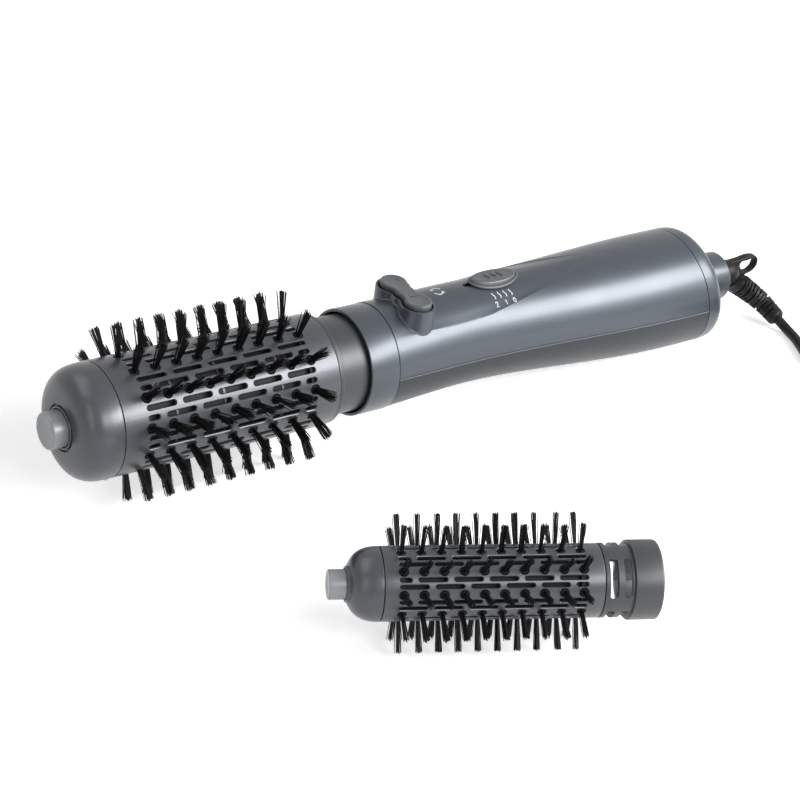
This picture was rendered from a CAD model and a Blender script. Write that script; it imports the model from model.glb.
"""Hot air styler with its large brush fitted, the loose small brush beside it, and the mains cord."""

import math
from types import SimpleNamespace

import bmesh
import bpy
from mathutils import Matrix, Vector


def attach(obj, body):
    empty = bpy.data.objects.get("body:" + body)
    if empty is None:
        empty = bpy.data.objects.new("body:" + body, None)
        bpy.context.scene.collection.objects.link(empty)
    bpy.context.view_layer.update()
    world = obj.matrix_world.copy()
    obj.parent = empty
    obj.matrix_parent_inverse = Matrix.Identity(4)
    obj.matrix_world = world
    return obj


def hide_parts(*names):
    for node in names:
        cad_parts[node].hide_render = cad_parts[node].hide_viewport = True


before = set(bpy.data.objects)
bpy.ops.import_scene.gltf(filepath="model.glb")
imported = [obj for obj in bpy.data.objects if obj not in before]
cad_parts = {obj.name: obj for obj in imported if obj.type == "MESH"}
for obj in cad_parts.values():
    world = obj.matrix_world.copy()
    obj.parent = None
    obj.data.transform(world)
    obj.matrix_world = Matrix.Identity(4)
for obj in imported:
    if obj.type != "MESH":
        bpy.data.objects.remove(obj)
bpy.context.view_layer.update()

MM = 0.001
ON_AXIS = 1e-6
FLAT = Matrix.Identity(4)

# The styler lies tipped a little on its rear bristles and its heel, and the loose brush is turned
# on the floor. Both are drawn in millimetres along +X from the face of their tip button.
STYLER_TIP = 0.0412946
STYLER = Matrix.Translation((-0.2028, 0.0796, 0.0425616)) @ Matrix.Rotation(STYLER_TIP, 4, "Y")
SPARE = Matrix.Translation((-0.1458, -0.0454, 0.028)) @ Matrix.Rotation(math.radians(-25.9), 4, "Z")
FLOOR = Matrix.Translation((-0.2028, 0.0796, 0))


def placed(name, data):
    """A new object of the scene."""
    made = bpy.data.objects.new(name, data)
    bpy.context.scene.collection.objects.link(made)
    return made


def aim_camera():
    """Camera, as the photograph was taken: from the front left, about 32 degrees down."""
    data = bpy.data.cameras.new("photo_camera")
    data.lens = 108
    data.sensor_width = 36
    data.clip_start = 0.01
    camera = placed("photo_camera", data)
    right = Vector((0.81178, -0.5750, 0.10137))
    up = Vector((0.23545, 0.4812, 0.8442))
    back = -Vector((0.53434, 0.6615, -0.52611))
    place = Matrix((right, up, back)).transposed().to_4x4()
    place.translation = (-0.6058, -0.6460, 0.58386)
    camera.matrix_world = place
    bpy.context.scene.camera = camera


aim_camera()


# Small helpers

def smooth(t):
    return t * t * (3 - 2 * t)


def mix(a, b, t):
    return a + (b - a) * t


def linear(colour):
    """An sRGB hex colour as linear RGBA."""
    channels = [int(colour[i:i + 2], 16) / 255 for i in (1, 3, 5)]
    return [c / 12.92 if c <= 0.04045 else ((c + 0.055) / 1.055) ** 2.4 for c in channels] + [1]


def clamp(t):
    return min(max(t, 0), 1)


def full_turn(steps):
    return [2 * math.pi * k / steps for k in range(steps)]


def bezier(a, b, c, d, t):
    return a * (1 - t) ** 3 + b * 3 * t * (1 - t) ** 2 + c * 3 * t * t * (1 - t) + d * t ** 3


def set_inputs(tree, target, inputs):
    """Sets a node's inputs, or links them to a socket, to the first output of a node or to a vector
    with such parts."""
    for key, value in inputs.items():
        if isinstance(value, tuple) and any(isinstance(part, bpy.types.bpy_struct) for part in value):
            value = node(tree, "ShaderNodeCombineXYZ", dict(enumerate(value)))
        if isinstance(value, bpy.types.Node):
            value = value.outputs[0]
        if isinstance(value, bpy.types.NodeSocket):
            tree.links.new(value, target.inputs[key])
        else:
            target.inputs[key].default_value = value


def node(tree, kind, inputs=None, **settings):
    made = tree.nodes.new(kind)
    for key, value in settings.items():
        setattr(made, key, value)
    set_inputs(tree, made, inputs or {})
    return made


# Materials

def new_material(name):
    material = bpy.data.materials.new(name)
    material.use_nodes = True
    tree = material.node_tree
    tree.nodes.clear()
    shader = node(tree, "ShaderNodeBsdfPrincipled")
    node(tree, "ShaderNodeOutputMaterial", {"Surface": shader})
    place = node(tree, "ShaderNodeTexCoord").outputs["Object"]
    return material, tree, shader, place


GRAIN, CLOUDS = 0, 1


def surface(name, tints, grain, clouds, tint_by, roughness, bump, values):
    """A surface with a fine grain and broad clouds, each by its scale, detail and roughness. One of the
    two varies the tint and the other the gloss, and the grain stands out a little."""
    material, tree, shader, place = new_material(name)
    noises = [node(tree, "ShaderNodeTexNoise", {"Vector": place, "Scale": scale, "Detail": detail, "Roughness": rough})
              for scale, detail, rough in (grain, clouds)]
    tint = node(tree, "ShaderNodeMix", {
        0: noises[tint_by], 6: linear(tints[0]), 7: linear(tints[1])}, data_type="RGBA")
    sheen = node(tree, "ShaderNodeMapRange", {
        "Value": noises[1 - tint_by], "From Min": 0.3, "From Max": 0.7, "To Min": roughness[0],
        "To Max": roughness[1]})
    relief = node(tree, "ShaderNodeBump", {"Height": noises[GRAIN], "Strength": bump, "Distance": 0.0001})
    set_inputs(tree, shader, {"Base Color": tint.outputs[2], "Roughness": sheen, "Normal": relief, **values})
    return material


def metallic_lacquer(name, colour, flake, metallic, roughness, coat=0.2):
    """Metallic lacquer on moulded ABS or on aluminium: fine flakes under a satin clear coat, which
    give a slate grey with a soft glint and long, gentle highlights."""
    # Flakes of about 0.15 mm, drawn at 0.5 mm so that they show as a faint sparkle, and the
    # cloudiness of the sprayed coat, about 25 mm across
    return surface(name, (colour, flake), (2000, 2, 0.6), (40, 3, 0.5), GRAIN,
                   (roughness - 0.02, roughness + 0.03), 0.06,
                   {"Metallic": metallic, "Coat Weight": coat, "Coat Roughness": 0.2})


def moulded_plastic(name, colour, shade, roughness, texture, size=1.0, gloss=0.5):
    """Moulded plastic with the fine spark-eroded texture of its mould, which breaks up its gloss."""
    # The mould's texture, about 0.4 mm in grain at size 1
    return surface(name, (colour, shade), (2500 / size, 3, 0.65), (60, 2, 0.5), CLOUDS,
                   (roughness - 0.05, roughness + 0.05), texture, {"IOR": 1.53, "Specular IOR Level": gloss})


def worked_metal(name, colour, shade, roughness):
    """Drawn or turned metal: fine lines along the way it was worked, on a clean bright surface."""
    material, tree, shader, place = new_material(name)
    # Tool lines about 0.4 mm apart
    lines = node(tree, "ShaderNodeTexNoise", {"Vector": place, "Scale": 2400, "Detail": 2})
    tint = node(tree, "ShaderNodeMix", {0: lines, 6: linear(colour), 7: linear(shade)}, data_type="RGBA")
    bump = node(tree, "ShaderNodeBump", {"Height": lines, "Strength": 0.15, "Distance": 0.0001})
    set_inputs(tree, shader, {
        "Base Color": tint.outputs[2], "Normal": bump, "Metallic": 1, "Roughness": roughness})
    return material


graphite_lacquer = metallic_lacquer("graphite_metallic_lacquer_on_abs", "#363b41", "#484e55", 0.5, 0.36)
barrel_lacquer = metallic_lacquer("titanium_grey_ceramic_coat_on_aluminium", "#3a3d41", "#4d5054", 0.55, 0.36)
knob_lacquer = metallic_lacquer("light_titanium_lacquer_on_abs", "#7a7d80", "#888b8e", 0.4, 0.42)
lower_lacquer = metallic_lacquer("charcoal_metallic_lacquer_on_abs", "#171b20", "#20252b", 0.2, 0.42, 0.0)
neck_plastic = moulded_plastic("charcoal_moulded_nylon", "#25282b", "#2e3135", 0.42, 0.2)
key_plastic = moulded_plastic("dark_grey_satin_abs", "#414447", "#4b4e51", 0.42, 0.15)
black_abs = moulded_plastic("black_moulded_abs", "#090a0a", "#0d0e0f", 0.45, 0.2, 1, 0.18)
bristle_nylon = moulded_plastic("black_nylon_bristle", "#060607", "#0b0b0c", 0.45, 0.05, 3, 0.2)
cage_plastic = moulded_plastic("black_heat_proof_polyamide", "#0c0c0d", "#111112", 0.6, 0.2, 1, 0.2)
pvc_cord = moulded_plastic("black_pvc_cord_jacket", "#08090a", "#0d0d0e", 0.42, 0.15, 2, 0.18)
soft_pvc = moulded_plastic("black_soft_pvc_relief", "#08080a", "#0c0c0e", 0.45, 0.15, 1.5, 0.18)
print_ink = moulded_plastic("pale_grey_pad_print_ink", "#b4b7ba", "#bfc2c4", 0.5, 0.05)
mark_ink = moulded_plastic("dark_moulded_mark", "#1d1f21", "#242628", 0.5, 0.05)
gear_plastic = moulded_plastic("black_acetal_gear_plastic", "#1d1e20", "#242528", 0.35, 0.05)
mica_sheet = moulded_plastic("pressed_mica_board", "#b9a57c", "#cbb994", 0.65, 0.4, 3)
circuit_laminate = moulded_plastic("green_epoxy_glass_laminate", "#264c33", "#2f5a3c", 0.35, 0.1)
zinc_steel = worked_metal("zinc_plated_drawn_steel", "#9a9da1", "#b0b3b6", 0.35)
turned_brass = worked_metal("turned_brass", "#a98a4c", "#bd9d5d", 0.3)
nichrome = worked_metal("oxidised_nichrome_wire", "#6a6764", "#7d7975", 0.5)
nickel_brass = worked_metal("nickel_plated_brass_pin", "#b9b9b6", "#c9c9c6", 0.22)


# Mesh makers

def piece_from(name, corners, faces, place, material, sharp=32):
    """A piece from corner points in millimetres, put in place in its mesh."""
    mesh = bpy.data.meshes.new(name)
    mesh.from_pydata([place @ (Vector(c) * MM) for c in corners], [], faces)
    piece = placed(name, mesh)
    tidy_faces(mesh, sharp)
    mesh.materials.append(material)
    return piece


def tidy_faces(mesh, sharp=32):
    shape = bmesh.new()
    shape.from_mesh(mesh)
    bmesh.ops.remove_doubles(shape, verts=shape.verts, dist=1e-7)
    bmesh.ops.recalc_face_normals(shape, faces=shape.faces)
    shape.to_mesh(mesh)
    shape.free()
    mesh.shade_smooth()
    mesh.set_sharp_from_angle(angle=math.radians(sharp))


def rounded(points):
    """A closed profile of (x, r) or (x, r, fillet) points with its filleted corners rounded."""
    out, steps = [], 4
    count = len(points)
    for i, point in enumerate(points):
        fillet = point[2] if len(point) > 2 else 0
        here = Vector(point[:2])
        if not fillet:
            out.append(here)
            continue
        before = Vector(points[i - 1][:2]) - here
        after = Vector(points[(i + 1) % count][:2]) - here
        reach = min(fillet, before.length * 0.48, after.length * 0.48)
        start = here + before.normalized() * reach
        end = here + after.normalized() * reach
        for k in range(steps + 1):
            t = k / steps
            out.append(start * (1 - t) ** 2 + here * 2 * t * (1 - t) + end * t ** 2)
    return [(p.x, p.y) for p in out]


def turned(name, points, place, material, sides=96):
    """A body of revolution about X from a closed profile of (x, r, fillet) points."""
    profile = rounded(points)
    corners, faces, rings = [], [], []
    for x, r in profile:
        start = len(corners)
        if r < ON_AXIS:
            corners.append((x, 0, 0))
            rings.append([start] * sides)
            continue
        corners += [(x, r * math.cos(turn), r * math.sin(turn)) for turn in full_turn(sides)]
        rings.append(range(start, start + sides))
    for i, ring in enumerate(rings):
        after = rings[(i + 1) % len(rings)]
        # Two points on the axis make no face between them
        if ring[0] == ring[1] and after[0] == after[1]:
            continue
        for k in range(sides):
            n = (k + 1) % sides
            faces.append(list(dict.fromkeys([ring[k], ring[n], after[n], after[k]])))
    return piece_from(name, corners, faces, place, material)


def lofted(name, rings, place, material, sharp=32, loop=False):
    """A skin through rings of equally many points. loop joins the last ring to the first;
    otherwise both ends are closed."""
    count = len(rings[0])
    corners = [p for ring in rings for p in ring]
    faces = []
    last = len(rings) if loop else len(rings) - 1
    for r in range(last):
        a, b = r * count, ((r + 1) % len(rings)) * count
        faces += [(a + i, a + (i + 1) % count, b + (i + 1) % count, b + i) for i in range(count)]
    if not loop:
        faces.append(tuple(range(count)))
        faces.append(tuple(range((len(rings) - 1) * count, len(rings) * count)))
    return piece_from(name, corners, faces, place, material, sharp)


def settled(piece, sharp=32):
    """The piece with its modifiers worked into its mesh."""
    graph = bpy.context.evaluated_depsgraph_get()
    mesh = bpy.data.meshes.new_from_object(piece.evaluated_get(graph))
    piece.modifiers.clear()
    piece.data = mesh
    mesh.shade_smooth()
    mesh.set_sharp_from_angle(angle=math.radians(sharp))
    return piece


def carve(piece, cutters, operation="DIFFERENCE", sharp=32):
    """Cuts closed pieces out of a piece, or joins them to it, and removes them."""
    for cutter in cutters:
        modifier = piece.modifiers.new("carve", "BOOLEAN")
        modifier.operation = operation
        modifier.solver = "MANIFOLD"
        modifier.object = cutter
    settled(piece, sharp)
    for cutter in cutters:
        bpy.data.objects.remove(cutter)
    return piece


def joined(name, parts):
    """One piece out of several, each keeping its own material."""
    shape = bmesh.new()
    materials = list(dict.fromkeys(material for part in parts for material in part.data.materials))
    for part in parts:
        start = len(shape.faces)
        shape.from_mesh(part.data)
        shape.faces.ensure_lookup_table()
        for face in shape.faces[start:]:
            face.material_index = materials.index(part.data.materials[face.material_index])
        bpy.data.objects.remove(part)
    mesh = bpy.data.meshes.new(name)
    shape.to_mesh(mesh)
    shape.free()
    for material in materials:
        mesh.materials.append(material)
    return placed(name, mesh)


def brick(x0, x1, y0, y1, z0, z1, place=STYLER, material=black_abs):
    """A plain block between three pairs of bounds."""
    corners = [(x, y, z) for x in (x0, x1) for y in (y0, y1) for z in (z0, z1)]
    faces = [(0, 1, 3, 2), (4, 6, 7, 5), (0, 4, 5, 1), (2, 3, 7, 6), (0, 2, 6, 4), (1, 5, 7, 3)]
    return piece_from("brick", corners, faces, place, material)


def dress(piece, body, slot, *nodes):
    """Says which body a piece rides on, its slot and the CAD nodes that it stands for."""
    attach(piece, body)
    if nodes:
        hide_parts(*nodes)
    return piece


# Geometry Nodes: shapes in rows along a barrel, and the rows round it

def socket_of(tree, name):
    return next(i.identifier for i in tree.interface.items_tree if i.name == name and i.in_out == "INPUT")


def new_tree(name, sizes):
    """A tree with an input for each size, after those that every row of shapes has."""
    tree = bpy.data.node_groups.new(name, "GeometryNodeTree")
    rows = {"Rows": 12, "Row step": 0.5, "First turn": 0.0, "Count": 5, "First station": 0.0, "Pitch": 0.017,
            "Height": 0.02, "Finish": None}
    for key, value in {**rows, **sizes}.items():
        kind = "NodeSocketInt" if isinstance(value, int) else "NodeSocketFloat"
        if value is None:
            kind = "NodeSocketMaterial"
        socket = tree.interface.new_socket(key, in_out="INPUT", socket_type=kind)
        if value is not None:
            socket.default_value = value
    tree.interface.new_socket("Geometry", in_out="OUTPUT", socket_type="NodeSocketGeometry")
    return tree, tree.nodes.new("NodeGroupInput").outputs


def finish_rows(tree, given, shape, **row_inputs):
    """Spreads a shape along a row and the row round the X axis, as real geometry with its finish."""
    line = node(tree, "GeometryNodeMeshLine", {
        "Count": given["Count"],
        "Start Location": (given["First station"], 0, given["Height"]), "Offset": (given["Pitch"], 0, 0)},
        mode="OFFSET")
    row = node(tree, "GeometryNodeInstanceOnPoints", {"Points": line, "Instance": shape, **row_inputs})
    row = node(tree, "GeometryNodeRealizeInstances", {0: row})
    index = node(tree, "GeometryNodeInputIndex")
    turn = node(tree, "ShaderNodeMath", {
        0: index, 1: given["Row step"], 2: given["First turn"]}, operation="MULTIPLY_ADD")
    whole = node(tree, "GeometryNodeInstanceOnPoints", {
        "Points": node(tree, "GeometryNodePoints", {"Count": given["Rows"]}), "Instance": row,
        "Rotation": node(tree, "FunctionNodeEulerToRotation", {0: (turn, 0, 0)})})
    whole = node(tree, "GeometryNodeRealizeInstances", {0: whole})
    whole = node(tree, "GeometryNodeSetMaterial", {"Geometry": whole, "Material": given["Finish"]})
    node(tree, "NodeGroupOutput", {0: whole})
    return tree


def slot_tree():
    """Round-ended pegs that cut rows of slots: each is the hull of two tapered pegs."""
    tree, given = new_tree("slot_cutters", {"Reach": 0.006, "Half width": 0.001, "Flare": 0.0, "Depth": 0.006})
    peg = node(tree, "GeometryNodeMeshCone", {
        "Vertices": 16, "Radius Bottom": given["Half width"], "Depth": given["Depth"],
        "Radius Top": node(tree, "ShaderNodeMath", {0: given["Half width"], 1: given["Flare"]}, operation="ADD")})
    ends = node(tree, "GeometryNodeJoinGeometry")
    for side in (-1, 1):
        shift = node(tree, "ShaderNodeMath", {0: given["Reach"], 1: side}, operation="MULTIPLY")
        moved = node(tree, "GeometryNodeTransform", {"Geometry": peg, "Translation": (shift, 0, 0)})
        tree.links.new(moved.outputs[0], ends.inputs[0])
    return finish_rows(tree, given, node(tree, "GeometryNodeConvexHull", {0: ends}))


def boss_tree():
    """Small tapered bosses that the tufts rise from."""
    tree, given = new_tree("tuft_bosses", {"Radius": 0.002})
    top = node(tree, "ShaderNodeMath", {0: given["Radius"], 1: 0.74}, operation="MULTIPLY")
    boss = node(tree, "GeometryNodeMeshCone", {
        "Vertices": 14, "Side Segments": 2, "Radius Bottom": given["Radius"], "Radius Top": top, "Depth": 0.0009})
    return finish_rows(tree, given, boss)


def tuft_tree():
    """Tufts of fine bristles with ragged ends, each turned and leaned a little its own way."""
    tree, given = new_tree("bristle_tufts", {
        "Bristles": 30, "Length": 0.014, "Root spread": 0.001, "Tip spread": 0.0015, "Thickness": 0.00015, "Seed": 1})
    turn = node(tree, "FunctionNodeRandomValue", {2: 0.0, 3: 2 * math.pi, "Seed": given["Seed"]}, data_type="FLOAT")
    out = node(tree, "FunctionNodeRandomValue", {2: 0.1, 3: 1.0, "Seed": 2}, data_type="FLOAT")
    spot = node(tree, "ShaderNodeVectorRotate", {
        "Vector": (out.outputs[1], 0, 0), "Angle": turn.outputs[1]}, rotation_type="Z_AXIS")
    root = node(tree, "ShaderNodeVectorMath", {0: spot, 3: given["Root spread"]}, operation="SCALE")
    stray = node(tree, "FunctionNodeRandomValue", {
        0: (-0.0004, -0.0004, 0.0), 1: (0.0004, 0.0004, 0.0), "Seed": 3}, data_type="FLOAT_VECTOR")
    splay = node(tree, "ShaderNodeVectorMath", {0: spot, 3: given["Tip spread"]}, operation="SCALE")
    splay = node(tree, "ShaderNodeVectorMath", {0: splay, 1: stray.outputs[0]}, operation="ADD")
    way = node(tree, "ShaderNodeVectorMath", {0: splay, 1: (0, 0, given["Length"])}, operation="ADD")
    spin = node(tree, "FunctionNodeRandomValue", {
        0: (0.0, 0.0, 0.0), 1: (0.0, 0.0, 2 * math.pi), "Seed": 4}, data_type="FLOAT_VECTOR")
    stand = node(tree, "FunctionNodeRotateRotation", {
        0: node(tree, "FunctionNodeAlignRotationToVector", {"Vector": way}, axis="Z"),
        1: node(tree, "FunctionNodeEulerToRotation", {0: spin})}, rotation_space="LOCAL")
    ragged = node(tree, "FunctionNodeRandomValue", {2: 0.92, 3: 1.0, "Seed": 5}, data_type="FLOAT")
    tall = node(tree, "ShaderNodeMath", {0: given["Length"], 1: ragged.outputs[1]}, operation="MULTIPLY")
    # One bristle, a little bowed: its middle stands off by z (z - 1) times the bow
    bristle = node(tree, "GeometryNodeMeshCone", {
        "Vertices": 4, "Side Segments": 3, "Radius Top": 0.7, "Radius Bottom": 1.0, "Depth": 1.0})
    height = node(tree, "ShaderNodeSeparateXYZ", {0: node(tree, "GeometryNodeInputPosition")}).outputs[2]
    sag = node(tree, "ShaderNodeMath", {0: height, 1: height, 2: node(
        tree, "ShaderNodeMath", {0: height, 1: -1.0}, operation="MULTIPLY")}, operation="MULTIPLY_ADD")
    bow = node(tree, "ShaderNodeMath", {0: sag, 1: 2.2}, operation="MULTIPLY")
    bristle = node(tree, "GeometryNodeSetPosition", {"Geometry": bristle, "Offset": (bow, 0, 0)})
    tuft = node(tree, "GeometryNodeInstanceOnPoints", {
        "Points": node(tree, "GeometryNodePoints", {"Count": given["Bristles"], "Position": root}),
        "Instance": bristle, "Rotation": stand, "Scale": (given["Thickness"], given["Thickness"], tall)})
    tuft = node(tree, "GeometryNodeRealizeInstances", {0: tuft})
    lean = node(tree, "FunctionNodeRandomValue", {
        0: (-0.03, -0.05, 0.0), 1: (0.03, 0.05, 2 * math.pi), "Seed": 6}, data_type="FLOAT_VECTOR")
    return finish_rows(tree, given, tuft, Rotation=node(tree, "FunctionNodeEulerToRotation", {0: lean}))


SLOTS = slot_tree()
BOSSES = boss_tree()
TUFTS = tuft_tree()


def row_turn(degrees):
    """Turn about X that takes +Z to a row at so many degrees above the viewer's side, -Y."""
    return math.radians(90 - degrees)


def grown(tree, brush, degrees, finish, sizes):
    """A tree's shapes in rows round a brush, from the row at so many degrees: sizes in millimetres,
    and whole numbers as they are."""
    piece = placed(tree.name, bpy.data.meshes.new(tree.name))
    modifier = piece.modifiers.new(tree.name, "NODES")
    modifier.node_group = tree
    plain = {"Rows": brush.rows, "Row step": 2 * math.pi / brush.rows, "First turn": row_turn(degrees),
             "Finish": finish}
    scaled = {key: value if isinstance(value, int) else value * MM for key, value in sizes.items()}
    for key, value in {**plain, **scaled}.items():
        modifier[socket_of(tree, key)] = value
    return settled(piece)


LARGE = SimpleNamespace(
    name="large", place=STYLER, body="fitted_brush", button_body="fitted_button",
    radius=25, nose=6.6, start=23.5, end=130, button=8, slot_width=2.2, dome=(4.5, 3.2),
    rows=12, first_row=15, tufts=9, pitch=10.1, first_tuft=36, tip=38.6,
    hole=2.3, bristles=40, root=1.2, spread=1.5, thick=0.2,
    # Slots between the tuft rows: degrees past the middle, first start, length, count, pitch
    slots=[(5, 35, 14, 5, 17.25), (-5, 43.8, 14, 4, 17.25), (-5, 35, 5.5, 2, 77.5)],
    hoops=(49.7, 73.2, 101.8),
)
SMALL = SimpleNamespace(
    name="small", place=SPARE, body="spare_brush", button_body="spare_button",
    radius=14.9, nose=6.8, start=20, end=108.3, button=6, slot_width=1.7, dome=(3, 2.4),
    rows=10, first_row=-90, tufts=10, pitch=8, first_tuft=27.7, tip=27.6,
    hole=1.9, bristles=32, root=0.95, spread=0.85, thick=0.2,
    slots=[(5.5, 33.5, 11.5, 5, 14.1), (-5.5, 26.1, 11.5, 5, 14.1), (5.5, 26.1, 4.8, 1, 20),
           (-5.5, 96.6, 4.8, 1, 20)],
    hoops=(),
)
# Wall of the barrels, depth of the button's well in the nose, and how far the button goes in
WALL = 1.2
WELL = 9.5
BUTTON_TRAVEL = 3


def make_barrel(b):
    """Tube with chamfered slots between its rows of chamfered tuft holes."""
    r, x0, x1 = b.radius, b.start + 0.3, b.end
    tube = turned(f"{b.name}_barrel_tube", [
        (x0, r - WALL), (x0, r, 0.25), (x1, r, 0.25), (x1, r - WALL)], FLAT, barrel_lacquer, 180)
    middle = b.first_row + 180 / b.rows
    cuts = [(middle + degrees, start + length / 2, length, count, pitch, b.slot_width, 0.35)
            for degrees, start, length, count, pitch in b.slots]
    # A tuft hole is a slot that is as long as it is wide
    cuts.append((b.first_row, b.first_tuft, 2.001 * b.hole, b.tufts, b.pitch, 2 * b.hole, 0.25))
    cutters = []
    for degrees, station, length, count, pitch, width, chamfer in cuts:
        # A straight cutter through the wall, then a flared one for the chamfer outside
        for height, depth, flare in ((r - 3.0, 6.0, 0.0), (r - chamfer, 0.8, 0.8)):
            cutters.append(grown(SLOTS, b, degrees, barrel_lacquer, {
                "Count": count, "First station": float(station), "Pitch": float(pitch), "Height": height,
                "Reach": (length - width) / 2, "Half width": width / 2, "Flare": flare, "Depth": depth}))
    carve(tube, cutters)
    tube.data.transform(b.place)
    dress(tube, b.body, "satin_grey", f"{b.name}_barrel")


def band(x0, x1, inner, outer, place, material):
    """A plain ring."""
    return turned("band", [(x0, inner), (x0, outer), (x1, outer), (x1, inner)], place, material, 60)


def make_bristles(b):
    """Black cage inside the barrel: hoops, a liner, and a rib under each row with its tufts."""
    r = b.radius - WALL - 0.3
    margin = 2.3
    first, last = b.first_tuft - margin, b.first_tuft + (b.tufts - 1) * b.pitch + margin
    parts = [band(x, x + 3, r - 1.8, r, FLAT, cage_plastic) for x in (first, last - 3)]
    parts.append(band(first + 0.2, last - 0.2, r - 2.3, r - 1.79, FLAT, cage_plastic))
    for row in range(b.rows):
        rib = brick(first, last, -1.1, 1.1, r - 1.5, r + 0.9, FLAT, cage_plastic)
        rib.data.transform(Matrix.Rotation(row_turn(b.first_row + row * 360 / b.rows), 4, "X"))
        parts.append(rib)
    along = {"Count": b.tufts, "First station": float(b.first_tuft), "Pitch": float(b.pitch)}
    root = b.radius - 0.6
    parts.append(grown(BOSSES, b, b.first_row, cage_plastic, {
        **along, "Height": b.radius - 1.1, "Radius": b.hole - 0.2}))
    parts.append(grown(TUFTS, b, b.first_row, bristle_nylon, {
        **along, "Height": root, "Bristles": b.bristles, "Length": b.tip - root, "Root spread": b.root,
        "Tip spread": b.spread, "Thickness": b.thick, "Seed": 11}))
    piece = joined(f"{b.name}_bristle_tufts", parts)
    piece.data.transform(b.place)
    dress(piece, b.body, "black_plastic", f"{b.name}_bristles")
    if b.hoops:
        hoops = [band(x, x + 1, r - 1.77, r - 1.52, b.place, key_plastic) for x in b.hoops]
        dress(joined(f"{b.name}_inner_hoops", hoops), b.body, "dark_grey")


def make_nose(b):
    """Domed nose cap: light bevelled ring, dark groove, and a full dome down to the barrel's seam."""
    guide = b.button + 0.4
    depth = b.start - b.nose
    fullness, edge = b.dome
    first_turn = math.asin(((guide + 1.9) / b.radius) ** (fullness / 2))
    turns = [mix(first_turn, math.pi / 2, i / 28) for i in range(28)]
    dome = [(b.start - depth * math.cos(t) ** (2 / edge) + 0.3, b.radius * math.sin(t) ** (2 / fullness))
            for t in turns]
    spigot = b.radius - WALL - 0.4
    floor = b.nose + WELL
    ring = [(b.nose, guide, 0.2), (b.nose, guide + 0.8, 0.3), (b.nose + 1.4, guide + 1.0, 0.1),
            (b.nose + 1.4, guide + 1.5)]
    piece = turned(f"{b.name}_nose_dome", [
        *ring, (dome[0][0] + 0.3, dome[0][1] - 0.25), *dome, (b.start - 0.05, b.radius, 0.2), (b.start, spigot),
        (b.start + 5, spigot, 0.3), (b.start + 5, spigot - 2), (floor + 2, spigot - 2), (floor + 2, 2.7),
        (floor, 2.7), (floor, guide)], b.place, barrel_lacquer, 120)
    dress(piece, b.body, "satin_grey", f"{b.name}_nose_cap")


def make_button(b):
    """Release button: a slightly dished face with a rounded edge, on its plunger."""
    back = b.nose + WELL - BUTTON_TRAVEL - 3.2
    floor_back = b.nose + WELL + 2
    r = b.button
    piece = turned(f"{b.name}_button", [
        (0.35, 0), (0.3, r * 0.55), (0, r * 0.78, 0.5), (0, r, 1.1), (back, r, 0.3), (back, 2.4),
        (floor_back + 0.3, 2.4), (floor_back + 0.3, 4), (floor_back + 2, 4), (floor_back + 2, 0)],
        b.place, knob_lacquer, 96)
    dress(piece, b.button_body, "satin_grey", f"{b.name}_release_button")


for brush in (LARGE, SMALL):
    make_barrel(brush)
    make_bristles(brush)
    make_nose(brush)
    make_button(brush)


def stadium(length, width, corner):
    """Outline of a rounded rectangle about the origin."""
    out, steps = [], 4
    for cx, cy, start in ((1, 1, 0), (-1, 1, 90), (-1, -1, 180), (1, -1, 270)):
        for k in range(steps + 1):
            turn = math.radians(start + 90 * k / steps)
            out.append((cx * (length / 2 - corner) + corner * math.cos(turn),
                        cy * (width / 2 - corner) + corner * math.sin(turn)))
    return out


def keyways(x0, x1, place):
    """Cutters of the three keyways in a coupling bore."""
    cutters = []
    for i in range(3):
        key = brick(x0, x1, -1.8, 1.8, 11.5, 13.7, FLAT)
        key.data.transform(place @ Matrix.Rotation(math.radians(i * 120), 4, "X"))
        cutters.append(key)
    return cutters


def make_large_neck():
    """Coupling neck of the fitted brush, with its flange against the collar."""
    neck = turned("large_brush_neck", [
        (124, 12.6), (124, 23.4, 0.3), (130.3, 23.4), (130.3, 24.6, 0.3), (132.5, 24.6, 0.4), (132.8, 21.8),
        (156.3, 21.8, 0.4), (156.3, 19.8), (134.7, 19.8), (134.7, 15), (157, 15), (157, 12.6)],
        STYLER, neck_plastic, 120)
    carve(neck, keyways(123, 158, STYLER))
    dress(neck, "fitted_brush", "dark_grey", "large_coupling_neck")


def make_small_sleeve():
    """Open sleeve of the loose brush: two rings of four windows, then a thicker grip ring."""
    start, ring, end = 108.6, 120.3, 132.3
    sleeve = turned("small_brush_sleeve", [
        (102.3, 12.6), (102.3, 13.3, 0.2), (start, 13.3), (start, 15, 0.25), (ring, 15), (ring + 0.25, 16.1, 0.3),
        (end, 16.1, 1.0), (end, 12.6, 0.5)], SPARE, neck_plastic, 120)
    cutters = keyways(101, 134, SPARE)
    wide = 3.3
    outline = stadium(15.6, wide, 1.0)
    for x in (110.5, 116.3):
        for i in range(4):
            levels = [[(x + wide / 2 + v, u, z) for u, v in outline] for z in (9, 18)]
            window = lofted("window", levels, FLAT, neck_plastic)
            window.data.transform(SPARE @ Matrix.Rotation(row_turn(39 + 90 * i), 4, "X"))
            cutters.append(window)
    carve(sleeve, cutters)
    dress(sleeve, "spare_brush", "dark_grey", "small_coupling_sleeve")


make_large_neck()
make_small_sleeve()

# Stations along the handle, in millimetres from the face of the brush's button
COLLAR_START = 147.2
COLLAR_SEAM = 162.2
WAIST = 208.2
HEEL = 329.2
LEAN_START = 300.2
REAR_SEAM = 343.2
REAR_END = 355.6
BOSS_END = 372.3
REAR_LEAN = 0.17
POD_X = 178
PAD_X = 227.4
STEM_X = 224.2
STEM_LONG = 6
SWITCH_TRAVEL = 9
SEAM_GAP = 0.15


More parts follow.
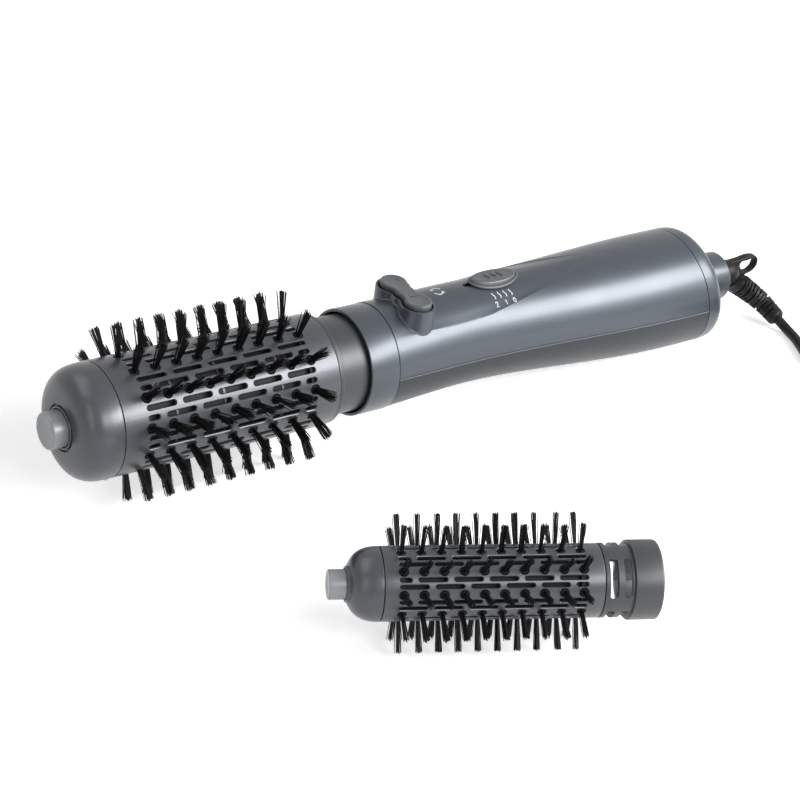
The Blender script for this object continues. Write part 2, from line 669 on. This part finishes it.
def handle_size(collar, waist, heel, x):
    """A size of the handle at a station, eased between its values at the collar, waist and heel."""
    if x <= WAIST:
        return mix(collar, waist, smooth(clamp((x - COLLAR_START) / (WAIST - COLLAR_START))))
    return mix(waist, heel, smooth(clamp((x - WAIST) / (HEEL - WAIST))))


def top_at(x):
    return handle_size(24.2, 26.1, 28.8, x)


def bottom_at(x):
    return handle_size(24.2, 20.9, 28.0, x)


def side_at(x):
    return handle_size(24.2, 23.3, 28.8, x)


def leaned(x, y, z):
    """The rear seam and the cap lean, top forward, and the shells ease into that lean."""
    return (x - REAR_LEAN * clamp((x - LEAN_START) / (REAR_SEAM - LEAN_START)) * z, y, z)


# Half width in plan of the panel on top, between its two fine ridges, which fade out behind the switch
RIDGE = [(162, 16.4), (184.2, 16.8), (198.8, 17), (215.8, 16.4), (233.9, 14.2), (252.6, 11.4), (261.5, 8.8),
         (272, 5.4), (282, 2.5), (345, 2)]
PANEL_DEPTH = 0.55
# The panel is deepest at this share of the way to its ridges
TROUGH = 0.82


def ridge_at(x):
    for (x0, w0), (x1, w1) in zip(RIDGE, RIDGE[1:]):
        if x <= x1:
            return mix(w0, w1, (x - x0) / (x1 - x0))
    return RIDGE[-1][1]


def skin_height(x, y):
    """Height of the handle's upper skin over a point in plan: the panel sinks towards its ridges
    and rises sharply on to them."""
    share = min(abs(y) / side_at(x), 1)
    z = top_at(x) * math.sqrt(1 - share * share)
    across = abs(y) / ridge_at(x)
    if across < 1:
        rise = (1 - across) / (1 - TROUGH)
        shape = rise * (2 - rise) if rise < 1 else smooth(across / TROUGH)
        z -= PANEL_DEPTH * smooth(clamp((x - 164) / 12)) * smooth(clamp((284 - x) / 30)) * shape
    return z


# Height of the parting line over the axis, and the wall of the shells
PARTING = 0.7
SHELL = 2.2


def half_section(x, upper, inset=0.0):
    """Closed outline of one shell's wall at a station, with points kept on the panel's ridges."""
    side, high = side_at(x), top_at(x) if upper else bottom_at(x)
    edge = PARTING + (0.13 if upper else -0.13)
    sign = 1 if upper else -1
    start = math.asin(sign * edge / high)
    ridge, trough = math.acos(ridge_at(x) / side), math.acos(TROUGH * ridge_at(x) / side)
    marks = [start, ridge, trough, math.pi - trough, math.pi - ridge, math.pi - start]
    turns = []
    for (a, b), steps in zip(zip(marks, marks[1:]), (26, 6, 34, 6, 26)):
        turns += [mix(a, b, k / steps) for k in range(steps)]
    shrink = 1 - inset / 25
    outer = []
    for turn in [*turns, marks[-1]]:
        y = side * math.cos(turn)
        z = skin_height(x, y) if upper else -high * math.sin(turn)
        outer.append([y * shrink, z * shrink])
    # Small chamfer along the parting line
    outer[0] = [(side - 0.3) * shrink, edge]
    outer[-1] = [-outer[0][0], edge]
    outer.insert(1, [side * shrink, edge + sign * 0.3])
    outer.insert(-1, [-side * shrink, edge + sign * 0.3])
    inner = []
    first = math.asin(sign * edge / (high - SHELL))
    for k in range(25):
        turn = mix(math.pi - first, first, k / 24)
        inner.append([(side - SHELL) * math.cos(turn), sign * (high - SHELL) * math.sin(turn)])
    inner[0][1] = inner[-1][1] = edge
    return [leaned(x, y, z) for y, z in outer + inner]


def shell(name, upper, material):
    """One shell of the handle, from the collar's seam to the rear seam, with its end edges eased."""
    x0, x1 = COLLAR_SEAM + SEAM_GAP, REAR_SEAM - SEAM_GAP
    inside = [mix(x0 + SEAM_GAP, x1 - SEAM_GAP, i / 80) for i in range(1, 80)]
    rings = [half_section(x, upper, SEAM_GAP if x in (x0, x1) else 0)
             for x in (x0, x0 + SEAM_GAP, *inside, x1 - SEAM_GAP, x1)]
    return lofted(name, rings, STYLER, material, 12)


def make_shells():
    """Upper shell with the switch's channel and the window under the pod, and the lower shell."""
    upper = shell("upper_handle_shell", True, graphite_lacquer)
    slot = stadium(STEM_LONG + SWITCH_TRAVEL + 0.6 + 2.8, 2.8, 1.38)
    middle = STEM_X - SWITCH_TRAVEL / 2
    channel = lofted("channel", [[(middle + u, v, z) for u, v in slot] for z in (18, 34)], STYLER, black_abs)
    carve(upper, [channel, brick(POD_X - 2.9, POD_X + 2.5, -4.5, 4.5, 15, 35)], sharp=12)
    dress(upper, "handle", "graphite", "upper_shell")
    lower = shell("lower_handle_shell", False, lower_lacquer)
    dress(lower, "handle", "charcoal", "lower_shell")


make_shells()


def make_collar():
    """Ring at the front of the handle, which the brush's neck turns in."""
    inner = 22.8
    collar = turned("front_collar_ring", [
        (COLLAR_START, inner, 0.25), (COLLAR_START, 24.2, 0.45), (COLLAR_SEAM - SEAM_GAP, 24.2, 0.1),
        (COLLAR_SEAM - SEAM_GAP, 19.7), (164, 19.7), (164, 16.6), (161.5, 16.6), (161.5, inner)],
        STYLER, graphite_lacquer, 120)
    dress(collar, "handle", "satin_grey", "front_collar")


def cap_scale(t):
    """Scale of the rear cap's section, flat along its side and eased round its edge."""
    return mix(0.6, 1, (1 - clamp(t) ** 5) ** 0.85)


def oval(x, scale, inset=0.0):
    """The handle's whole outline at a station, made smaller by a scale or an inset."""
    out = []
    for turn in full_turn(96):
        high = top_at(x) if math.sin(turn) > 0 else bottom_at(x)
        out.append(leaned(x, (side_at(x) * scale - inset) * math.cos(turn), (high * scale - inset) * math.sin(turn)))
    return out


def make_rear_cap():
    """Cap with its round boss for the cord's swivel, and six air inlets round the boss."""
    first = REAR_SEAM + SEAM_GAP
    steps = [0, 0.01, 0.02] + [1 - (1 - i / 30) ** 1.8 for i in range(1, 31)]
    rings = [oval(mix(first, REAR_END, t), cap_scale(t), SEAM_GAP if t == 0 else 0) for t in sorted(steps)]
    cap = lofted("rear_handle_cap", rings, STYLER, graphite_lacquer, 40)
    root = mix(first, REAR_END, 0.5)
    boss = turned("boss", [(root, 0), (root, 12), (BOSS_END, 12, 0.9), (BOSS_END, 0)], STYLER, graphite_lacquer, 96)
    carve(cap, [boss], "UNION", 40)
    depths = [oval(mix(REAR_SEAM, REAR_END, t), scale) for t, scale in ((-0.1, 0.92), (0.6, 0.9), (0.84, 0.62))]
    hollow = lofted("hollow", depths, STYLER, graphite_lacquer)
    bore = turned("bore", [(REAR_SEAM - 5, 0), (REAR_SEAM - 5, 4.9), (BOSS_END + 1, 4.9), (BOSS_END + 1, 0)],
                  STYLER, graphite_lacquer, 48)
    cutters = [hollow, bore]
    shear = Matrix(((1, 0, -REAR_LEAN, 0), (0, 1, 0, 0), (0, 0, 1, 0), (0, 0, 0, 1)))
    for i in range(6):
        outline = stadium(6.6, 2.6, 1.2)
        inlet = lofted("inlet", [[(x, v, 16.9 + u) for u, v in outline] for x in (REAR_END - 3.5, REAR_END + 3)],
                       FLAT, graphite_lacquer)
        inlet.data.transform(STYLER @ shear @ Matrix.Rotation(row_turn((i + 0.5) * 60), 4, "X"))
        cutters.append(inlet)
    carve(cap, cutters, sharp=40)
    dress(cap, "handle", "graphite", "rear_cap")


make_collar()
make_rear_cap()


# Rocker pod and its rocker

def two_lobes(lobe, waist):
    """Plan outline with two round lobes and a narrowed middle."""
    spacing, steps = 9.5, 14
    shoulder = math.radians(40)
    side = lobe * math.cos(shoulder)
    rise = spacing - lobe * math.sin(shoulder)
    middle = rise * 0.45
    out = []
    for sign in (1, -1):
        for k in range(2 * steps + 1):
            turn = mix(-shoulder, math.pi + shoulder, k / (2 * steps))
            out.append((sign * lobe * math.cos(turn), sign * (spacing + lobe * math.sin(turn))))
        near = [Vector((-side, rise)), Vector((-side * 0.8, middle)), Vector((-waist, middle)), Vector((-waist, 0))]
        far = [Vector((p.x, -p.y)) for p in reversed(near)]
        for a, b, c, d in (near, far):
            for k in range(1, steps // 2 + 1):
                p = bezier(a, b, c, d, k / (steps // 2))
                if (p - Vector((-side, -rise))).length > 1e-6:
                    out.append((sign * p.x, sign * p.y))
    return out


def inset_outline(outline, inset):
    """Outline moved in by so much, at right angles to itself."""
    if not inset:
        return outline
    out = []
    count = len(outline)
    for i, point in enumerate(outline):
        before, after = Vector(outline[i - 1]), Vector(outline[(i + 1) % count])
        along = (after - before).normalized()
        out.append((point[0] - along.y * inset, point[1] + along.x * inset))
    return out


def level(outline, z, inset=0.0, dish=0.0):
    """Ring of the pod or its key at a height, which sinks by the dish towards the lobes."""
    return [(POD_X + x, y, z - dish * min(1, abs(y) / 10)) for x, y in inset_outline(outline, inset)]


POD_TOP = 28
ROCKER_TOP = 30.4
ROCKER_FOOT = 26.4
PIN_HEIGHT = 27.9


def make_pod():
    """Wall of the pod, flared on to the shell, with a thin rounded rim and a black inside."""
    outer = two_lobes(8, 6.2)
    inner = two_lobes(6.9, 5.1)

    def on_skin(outline, lift, inset=0.0):
        return [(POD_X + x, y, skin_height(POD_X + x, y) + lift) for x, y in inset_outline(outline, inset)]

    rings = [on_skin(outer, -0.5, -0.4), on_skin(outer, 0.12, -0.4), on_skin(outer, 0.25, -0.22),
             on_skin(outer, 0.65),
             level(outer, POD_TOP - 0.5), level(outer, POD_TOP - 0.12, 0.12), level(outer, POD_TOP, 0.35),
             level(inner, POD_TOP, -0.35), level(inner, POD_TOP - 0.12, -0.1), level(inner, POD_TOP - 0.5),
             on_skin(inner, -0.5)]
    pod = lofted("rocker_pod_wall", rings, STYLER, graphite_lacquer, 40, loop=True)
    pod.data.materials.append(black_abs)
    for face in pod.data.polygons[9 * len(outer):]:
        face.material_index = 1
    dress(pod, "handle", "graphite", "rocker_pod")


def make_rocker():
    """Two-lobed key, a little dished, with a moulded mark on each lobe and its pin below."""
    outline = two_lobes(6.2, 4.4)
    top = ROCKER_TOP
    rings = [level(outline, z, inset, dish) for z, inset, dish in (
        (ROCKER_FOOT, 0.4, 0), (ROCKER_FOOT + 0.4, 0, 0), (top - 0.8, 0, 0), (top - 0.4, 0.1, 0),
        (top - 0.12, 0.38, 0), (top, 0.85, 0), (top - 0.02, 1.3, 0.1), (top - 0.05, 2, 0.3))]
    key = lofted("rotation_rocker_key", rings, STYLER, key_plastic, 50)
    pin = turned("pin", [(POD_X - 4.1, 0), (POD_X - 4.1, 0.9, 0.2), (POD_X + 4.1, 0.9, 0.2), (POD_X + 4.1, 0)],
                 STYLER @ Matrix.Translation((0, 0, PIN_HEIGHT * MM)), key_plastic, 24)
    marks = [brick(POD_X - 1.9, POD_X + 2.3, -6.1, -5.5, top - 0.6, top - 0.11, STYLER, mark_ink),
             brick(POD_X + 2, POD_X + 2.6, 8.4, 11.6, top - 0.7, top - 0.27, STYLER, mark_ink)]
    dress(joined("rotation_rocker_key", [key, pin, *marks]), "rocker", "dark_grey", "rotation_rocker")


make_pod()
make_rocker()


def make_pad():
    """Slide pad: an oval with a stepped rim, a dished top and three zigzag ribs, on its stem."""
    top = top_at(PAD_X) + 2.6
    half_length, half_width = 13.6, 7

    def ellipse(inset, height):
        ring = []
        for turn in full_turn(84):
            x = PAD_X + (half_length - inset) * math.cos(turn)
            y = (half_width - inset) * math.sin(turn)
            ring.append((x, y, height(x, y)))
        return ring

    def seat(lift):
        return lambda x, y: skin_height(x, y) + lift

    def crown(drop):
        return lambda x, y: top - drop - 0.4 * ((x - PAD_X) / half_length) ** 2 - 0.9 * (y / half_width) ** 2

    rim = ((0.25, 0.35), (0, 0.55), (0, 1.05), (0.2, 1.3), (0.85, 1.35), (1.05, 1.0), (1.15, 1.0))
    middle = ((1.25, 0.85), (1.45, 0.35), (1.9, 0.07), (2.6, 0), (3.4, 0.15), (4.6, 0.4), (6.2, 0.5))
    rings = [ellipse(inset, seat(lift)) for inset, lift in rim]
    rings += [ellipse(inset, crown(drop)) for inset, drop in middle]
    pad = lofted("slide_switch_grip", rings, STYLER, key_plastic, 50)
    stem = brick(STEM_X - STEM_LONG / 2, STEM_X + STEM_LONG / 2, -1.1, 1.1, 18.3, top - 1.5, STYLER, key_plastic)
    ribs = []
    for offset in (-3.6, 0, 3.6):
        path = [(PAD_X + offset + dx, y) for dx, y in ((-1.3, -3.6), (0.7, -1.3), (-0.7, 1.3), (1.3, 3.6))]
        ring = []
        for x, y in path:
            crest = top - 0.1 - 0.9 * (y / half_width) ** 2
            ring.append([(x - 0.45, y, top - 1.5), (x + 0.45, y, top - 1.5),
                         (x + 0.25, y, crest), (x - 0.25, y, crest)])
        ribs.append(lofted("rib", ring, STYLER, key_plastic, 50))
    dress(joined("slide_switch_grip", [pad, stem, *ribs]), "switch_pad", "dark_grey", "slide_switch_pad")


make_pad()


# Printed marks on the shell: rotation arrows, rising heat and the switch's numbers
BOLD = 0.6


def stroke(points, width, loop=False):
    """A thin printed line through plan points, lying on the skin."""
    rings = []
    count = len(points)
    for i, point in enumerate(points):
        before = Vector(points[i - 1] if loop or i else point)
        after = Vector(points[(i + 1) % count] if loop or i < count - 1 else point)
        side = (after - before).orthogonal().normalized() * width / 2
        ring = []
        for sign, lift in ((1, -0.1), (-1, -0.1), (-1, 0.03), (1, 0.03)):
            x, y = Vector(point) + side * sign
            ring.append((x, y, skin_height(x, y) + lift))
        rings.append(ring)
    return lofted("stroke", rings, STYLER, print_ink, 50, loop)


def arc(cx, cy, rx, ry, first, last, steps=18):
    """Plan points along part of an ellipse, between two angles in degrees."""
    turns = [math.radians(mix(first, last, k / steps)) for k in range(steps + 1)]
    return [(cx + rx * math.cos(t), cy + ry * math.sin(t)) for t in turns]


def arrow_head(tip, way, size):
    """Two short strokes that meet at the tip of an arrow."""
    barbs = [math.radians(way + turn) for turn in (150, -150)]
    return [stroke([(tip[0] + size * math.cos(b), tip[1] + size * math.sin(b)), tip], BOLD) for b in barbs]


def make_marks():
    """Two arrows that chase each other, four heat waves, and 2, 1 and 0."""
    cx, cy = 196.5, 0.7
    prints = []
    for first in (20, 200):
        bend = arc(cx, cy, 2.5, 2.9, first, first + 135)
        prints.append(stroke(bend, BOLD))
        prints += arrow_head(bend[-1], first + 135 + 90, 1.4)
    for k in range(4):
        x = 221.6 + 3.2 * k
        prints.append(stroke([(x + 0.45 * math.sin(t * math.pi / 4), -10.9 + 0.42 * t) for t in range(8)], 0.5))
    high = 2.1
    for x, shape, loop in (
            (220.6, [(0.02, 0.72), (0.1, 0.9), (0.3, 0.98), (0.5, 0.88), (0.54, 0.7), (0.42, 0.45), (0.02, 0.03),
                     (0.58, 0.03)], False),
            (225.9, [(0.12, 0.72), (0.34, 0.97), (0.34, 0.02)], False),
            (230.6, arc(0.3, 0.5, 0.28, 0.48, 0, 340, 14), True)):
        prints.append(stroke([(x + u * high, -14.2 + v * high) for u, v in shape], 0.45, loop))
    dress(joined("printed_switch_marks", prints), "handle", "graphite")


make_marks()


# Swivel hub with its hanging loop

def add_spline(curve, points):
    """A smooth line through the points."""
    spline = curve.splines.new("BEZIER")
    spline.bezier_points.add(len(points) - 1)
    for knot, point in zip(spline.bezier_points, points):
        knot.co = point
        knot.handle_left_type = knot.handle_right_type = "AUTO"
    return spline


def loop_plate():
    """Loop as a bevelled flat curve with its hole, stood upright along the axis."""
    data = bpy.data.curves.new("loop", "CURVE")
    data.dimensions = "2D"
    data.fill_mode = "BOTH"
    data.extrude = 1.2
    data.bevel_depth = 0.7
    data.bevel_resolution = 3
    data.offset = -0.7
    outer = [(373.2, 4.6), (379, -1.6), (386, -2.6), (393.6, -2.4), (397.6, -0.8), (399.5, 2.4), (398.4, 6.0),
             (394.6, 7.5), (386, 6.9), (379, 6.4), (373.2, 6.2)]
    hole = [(387.6, 4.6), (391.5, 5.3), (396.9, 5.3), (397.5, 2.6), (395.8, -0.3), (391.6, -0.9), (389, 0.8)]
    for points in (outer, hole):
        add_spline(data, [(x, z, 0) for x, z in points]).use_cyclic_u = True
    piece = placed("loop", data)
    graph = bpy.context.evaluated_depsgraph_get()
    mesh = bpy.data.meshes.new_from_object(piece.evaluated_get(graph))
    bpy.data.objects.remove(piece)
    mesh.transform(STYLER @ Matrix.Scale(MM, 4) @ Matrix.Rotation(math.radians(90), 4, "X"))
    mesh.materials.clear()
    mesh.materials.append(black_abs)
    tidy_faces(mesh, 40)
    return placed("loop", mesh)


def make_hub():
    """Swivel hub with a groove for its clip, a round shoulder and its loop."""
    hub = turned("cord_swivel_hub", [
        (348.5, 0), (348.5, 4.6, 0.3), (350.6, 4.6), (350.6, 3.7), (352.4, 3.7), (352.4, 4.6), (372.6, 4.6),
        (372.6, 6.6, 0.3), (380.1, 6.6, 0.8), (382.5, 6.2), (384.6, 4.9), (386, 2.9), (386.7, 0)],
        STYLER, black_abs, 64)
    hub = joined("cord_swivel_hub", [hub, loop_plate()])
    dress(hub, "swivel", "black_plastic", "swivel_hub")


# Strain relief: ribbed, tapering and bent down to the floor, with slots between its ribs

RELIEF_OUT = Vector((0.14, -0.92, -0.36)).normalized()
RELIEF_FROM = Vector((382.5, 0, -2.5))
RELIEF_BEND = Vector((401.6, -12.5, -17.6))
RELIEF_TIP = RELIEF_BEND + RELIEF_OUT * 8.8


def relief_point(t):
    """Point along the relief for a share of its way: its bend, then its straight end."""
    if t < 0.78:
        return bezier(RELIEF_FROM, RELIEF_FROM + Vector((0.8, -0.05, -0.6)) * 9, RELIEF_BEND - RELIEF_OUT * 9,
                      RELIEF_BEND, t / 0.78)
    return RELIEF_BEND.lerp(RELIEF_TIP, (t - 0.78) / 0.22)


def make_relief():
    """Tapering boot with fine slots by turns on its two sides, and a rounded end."""
    pitch, width, depth = 2.5, 0.8, 1.1
    way, rings, steps = 0, [], 150
    last = relief_point(0)
    for i in range(steps + 1):
        t = i / steps
        here = relief_point(t)
        way += (here - last).length
        last = here
        along = (relief_point(min(t + 0.01, 1)) - relief_point(max(t - 0.01, 0))).normalized()
        across = Vector((0, 0, 1)).cross(along).normalized()
        over = along.cross(across)
        radius = mix(6.3, 4.4, t) - (1.6 * ((t - 0.95) / 0.05) ** 2 if t > 0.95 else 0)
        slotted = 0.2 < t < 0.92 and way % pitch < width
        sideways = int(way / pitch) % 2
        ring = []
        for turn in full_turn(48):
            facing = abs(math.cos(turn) if sideways else math.sin(turn))
            reach = radius - (depth if slotted and facing > 0.45 else 0)
            ring.append(tuple(here + across * reach * math.cos(turn) + over * reach * math.sin(turn)))
        rings.append(ring)
    relief = lofted("cord_strain_relief", rings, STYLER, soft_pvc, 35)
    clear = turned("clear", [(372, 0), (372, 6.9), (380.1, 6.9), (384.2, 5.6), (387, 0)], STYLER, soft_pvc, 48)
    above = brick(372, 425, -20, 20, -3.77, 20)
    carve(relief, [clear, above], sharp=35)
    dress(relief, "handle", "black_plastic", "strain_relief")


make_hub()
make_relief()

# Cord: from the relief down to the floor, to the coil, and over its top down to the plug

CORD_R = 2.5
CORD_Z = 2.6
# Distance between the points of its route, and how far it goes straight where it's held
SPACING = 5
STRAIGHT = 5.3


def catmull(points, spacing):
    """Evenly spaced points in plan on a centripetal Catmull-Rom curve through points, with their
    distance from its start, and its length."""
    def span(p0, p1, p2, p3):
        t, steps = [0], 40
        for a, b in ((p0, p1), (p1, p2), (p2, p3)):
            t.append(t[-1] + max((b - a).length, 1e-4) ** 0.5)

        def between(a, b, i, j, s):
            return a * ((t[j] - s) / (t[j] - t[i])) + b * ((s - t[i]) / (t[j] - t[i]))

        made = []
        for k in range(steps):
            s = mix(t[1], t[2], k / steps)
            a1, a2, a3 = between(p0, p1, 0, 1, s), between(p1, p2, 1, 2, s), between(p2, p3, 2, 3, s)
            made.append(between(between(a1, a2, 0, 2, s), between(a2, a3, 1, 3, s), 1, 2, s))
        return made

    points = [Vector((p.x, p.y, 0)) for p in points]
    ends = [points[0] * 2 - points[1], *points, points[-1] * 2 - points[-2]]
    dense = []
    for i in range(1, len(ends) - 2):
        dense += span(*ends[i - 1:i + 3])
    dense.append(points[-1])
    lengths = [0]
    for a, b in zip(dense, dense[1:]):
        lengths.append(lengths[-1] + (b - a).length)
    count = max(2, round(lengths[-1] / spacing))
    out, j = [], 0
    for i in range(count + 1):
        s = lengths[-1] * i / count
        while j < len(lengths) - 2 and lengths[j + 1] < s:
            j += 1
        t = (s - lengths[j]) / max(lengths[j + 1] - lengths[j], 1e-9)
        out.append((s, dense[j].lerp(dense[j + 1], min(t, 1))))
    return out, lengths[-1]


def on_floor(point):
    """Styler millimetres to floor millimetres, before the shared shift."""
    return FLOOR.inverted() @ (STYLER @ (Vector(point) * MM)) / MM


HEADING_IN = math.radians(290)
COIL_AHEAD = Vector((math.cos(HEADING_IN), math.sin(HEADING_IN), 0))
COIL_ENTRY = Vector((396.0, -102, CORD_Z))
COIL_OUTER = 35.5
COIL_PITCH = 5.5
COIL_LAYERS = 4
COIL_TURNS = 2 * COIL_LAYERS
COIL_CENTRE = COIL_ENTRY + Vector((-COIL_AHEAD.y, COIL_AHEAD.x, 0)) * COIL_OUTER


def coil_point(turns):
    """Point of the coil after so many turns: layers of two turns, wound in and out in turn."""
    phase = turns % 4
    inward = phase if phase < 2 else 4 - phase
    radius = COIL_OUTER - COIL_PITCH * inward
    reversal = round(turns / 2)
    past = turns - reversal * 2
    layer = reversal - 1 if past < 0 else reversal
    if 0 < reversal < COIL_LAYERS and abs(past) < 0.25:
        layer = reversal - 1 + smooth((past + 0.25) / 0.5)
    angle = HEADING_IN - math.pi / 2 + turns * 2 * math.pi
    return Vector((COIL_CENTRE.x + radius * math.cos(angle), COIL_CENTRE.y + radius * math.sin(angle),
                   CORD_Z + min(layer, COIL_LAYERS - 1) * COIL_PITCH))


PLUG_LEAN = math.atan(10.5 / 32)
PLUG_ENTRY = Vector((COIL_CENTRE.x + 30, COIL_CENTRE.y - 64.6, 6.5 * math.cos(PLUG_LEAN)))


def settling(rise, slope, way):
    """Height of the cord so far past the end of a slope, which it leaves to settle on the floor."""
    return CORD_Z + rise * max(0, 1 - way / (2 * rise / slope)) ** 2


def free_part():
    """Cord from the relief's slope down to the floor and to the coil."""
    start = on_floor(RELIEF_TIP)
    heading = (on_floor(RELIEF_TIP + RELIEF_OUT) - start).normalized()
    end = COIL_ENTRY - COIL_AHEAD * SPACING
    bends = [Vector((x, y, 0)) for x, y in ((400.8, -33.5), (396.4, -44.5), (391.3, -56), (388.7, -70))]
    plan = [start, start + heading * STRAIGHT, *bends, end - COIL_AHEAD * SPACING, end]
    slope = heading.z / math.hypot(heading.x, heading.y)
    drop = start.z + slope * SPACING - CORD_Z
    out = []
    for s, p in catmull(plan, SPACING)[0]:
        z = start.z + slope * s if s <= SPACING else settling(drop, -slope, s - SPACING)
        out.append(Vector((p.x, p.y, z)))
    return out


def tail_part():
    """Cord from the top of the coil down to the floor, and up into the plug, which lies leaning."""
    leave = coil_point(COIL_TURNS) + COIL_AHEAD * SPACING
    end = PLUG_ENTRY
    descent = 62
    plan = [leave, leave + COIL_AHEAD * STRAIGHT, COIL_CENTRE + Vector((-18, -49, 0)),
            COIL_CENTRE + Vector((1, -61, 0)), end - Vector((SPACING + STRAIGHT, 0, 0)),
            end - Vector((STRAIGHT, 0, 0)), end]
    slope = math.tan(PLUG_LEAN)
    rise = end.z - slope * STRAIGHT - CORD_Z
    places, length = catmull(plan, SPACING)
    out = []
    for s, p in places:
        left = length - s
        z = end.z - slope * left if left < STRAIGHT else settling(rise, slope, left - STRAIGHT)
        if z <= CORD_Z:
            z = mix(leave.z, CORD_Z, smooth(clamp((s - STRAIGHT) / descent)))
        out.append(Vector((p.x, p.y, z)))
    return out


def make_cord():
    """The whole cord as one curve, and its plug."""
    around = 24
    coil = [coil_point(k / around) for k in range(COIL_TURNS * around + 1)]
    route = free_part()[:-1] + [COIL_ENTRY - COIL_AHEAD * SPACING] + coil + tail_part()
    data = bpy.data.curves.new("mains_cord", "CURVE")
    data.dimensions = "3D"
    data.bevel_depth = CORD_R * MM
    data.bevel_resolution = 4
    data.use_fill_caps = True
    data.resolution_u = 4
    add_spline(data, [FLOOR @ (place * MM) for place in route])
    data.materials.append(pvc_cord)
    cord = placed("mains_cord", data)
    dress(cord, "handle", "black_plastic", "cord_free", "cord_coil", "cord_tail")
    plug = make_plug()


def make_plug():
    """Two-pin plug that rests on the rim of its body and on its cord end."""
    place = FLOOR @ Matrix.Translation(PLUG_ENTRY * MM) @ Matrix.Rotation(-PLUG_LEAN, 4, "Y")
    body = turned("plug", [
        (0, 0), (0, 4.2, 0.6), (1.5, 5.4, 0.5), (10, 5.8), (12, 6.5, 0.6), (24, 9.5, 3), (30, 15.6, 2), (32, 17, 0.8),
        (42, 17, 0.5), (43.5, 15.8, 0.5), (43.5, 0)], place, black_abs, 72)
    pins = [turned("pin", [(42.5, 0), (42.5, 2.4), (60.5, 2.4, 0.8), (62.5, 1.2, 0.6), (62.5, 0)],
                   place @ Matrix.Translation((0, y * MM, 0)), nickel_brass, 24) for y in (-9.5, 9.5)]
    plug = joined("mains_plug_body", [body, *pins])
    return dress(plug, "handle", "black_plastic", "mains_plug")


make_cord()

# Finishes of the CAD pieces that stay
for finish, names in (
        (turned_brass, ("spindle_bush", "brush_pinion")),
        (neck_plastic, ("drive_spindle",)),
        (gear_plastic, ("ring_gear",)),
        (black_abs, ("rocker_switch", "slide_switch_body")),
        (circuit_laminate, ("circuit_board",)),
        (zinc_steel, ("gear_motor", "thermostat", "fan_motor", "swivel_clip")),
        (mica_sheet, ("heat_shield_duct", "heater_board_cross")),
        (nichrome, ("heater_coil",)),
        (cage_plastic, ("fan_housing", "fan_rotor"))):
    for name in names:
        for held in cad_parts[name].material_slots:
            held.material = finish


# Floor, lights and background

def seen_rays(tree):
    """One for rays from the camera, mirrored or passed through, and nought for the light that falls."""
    path = node(tree, "ShaderNodeLightPath")
    seen = path.outputs["Is Camera Ray"]
    for other in ("Is Glossy Ray", "Is Transmission Ray"):
        seen = node(tree, "ShaderNodeMath", {0: seen, 1: path.outputs[other]}, operation="ADD", use_clamp=True)
    return seen


def make_floor():
    """White paper that glows a little, so that it stays white with only faint shadows."""
    material, tree, shader, _ = new_material("white_paper_sweep")
    glow = node(tree, "ShaderNodeMath", {0: seen_rays(tree), 1: 0.55}, operation="MULTIPLY")
    set_inputs(tree, shader, {
        "Base Color": linear("#e8e8e8"), "Roughness": 0.9, "Emission Color": (1, 1, 1, 1), "Emission Strength": glow})
    corners = [(-700, -700, 0), (700, -700, 0), (700, 700, 0), (-700, 700, 0)]
    floor = piece_from("floor", corners, [(0, 1, 2, 3)], Matrix.Translation((0, 0, -0.0002)), material)
    if floor.data.polygons[0].normal.z < 0:
        floor.data.flip_normals()


def light_scene():
    """White surroundings for the eye, and softboxes: a long key light to the right, which gives the
    handle its bright band, and faint ones in front, above and to the left. Sizes in metres, power in W."""
    world = bpy.data.worlds.new("studio")
    bpy.context.scene.world = world
    world.use_nodes = True
    tree = world.node_tree
    tree.nodes.clear()
    strength = node(tree, "ShaderNodeMath", {0: seen_rays(tree), 1: 0.85, 2: 0.15}, operation="MULTIPLY_ADD")
    back = node(tree, "ShaderNodeBackground", {"Color": (1, 1, 1, 1), "Strength": strength})
    node(tree, "ShaderNodeOutputWorld", {"Surface": back})
    middle = Vector((0, 0, 0.04))
    for name, way, distance, size, power in (
            ("key_softbox", (0.58, -0.64, 0.56), 0.9, (0.9, 0.34), 17),
            ("front_softbox", (-0.13, -0.87, 0.58), 1.0, (0.35, 0.35), 3),
            ("top_softbox", (-0.5, 0.5, 0.9), 1.1, (0.9, 0.6), 2.5),
            ("left_softbox", (-0.9, -0.25, 0.35), 1.0, (0.4, 0.6), 1)):
        data = bpy.data.lights.new(name, "AREA")
        data.shape = "RECTANGLE"
        data.size, data.size_y = size
        data.energy = power
        lamp = placed(name, data)
        away = Vector(way).normalized()
        facing = away.to_track_quat("Z", "Y").to_matrix().to_4x4()
        lamp.matrix_world = Matrix.Translation(middle + away * distance) @ facing


make_floor()
light_scene()
bpy.context.scene.view_settings.view_transform = "Standard"
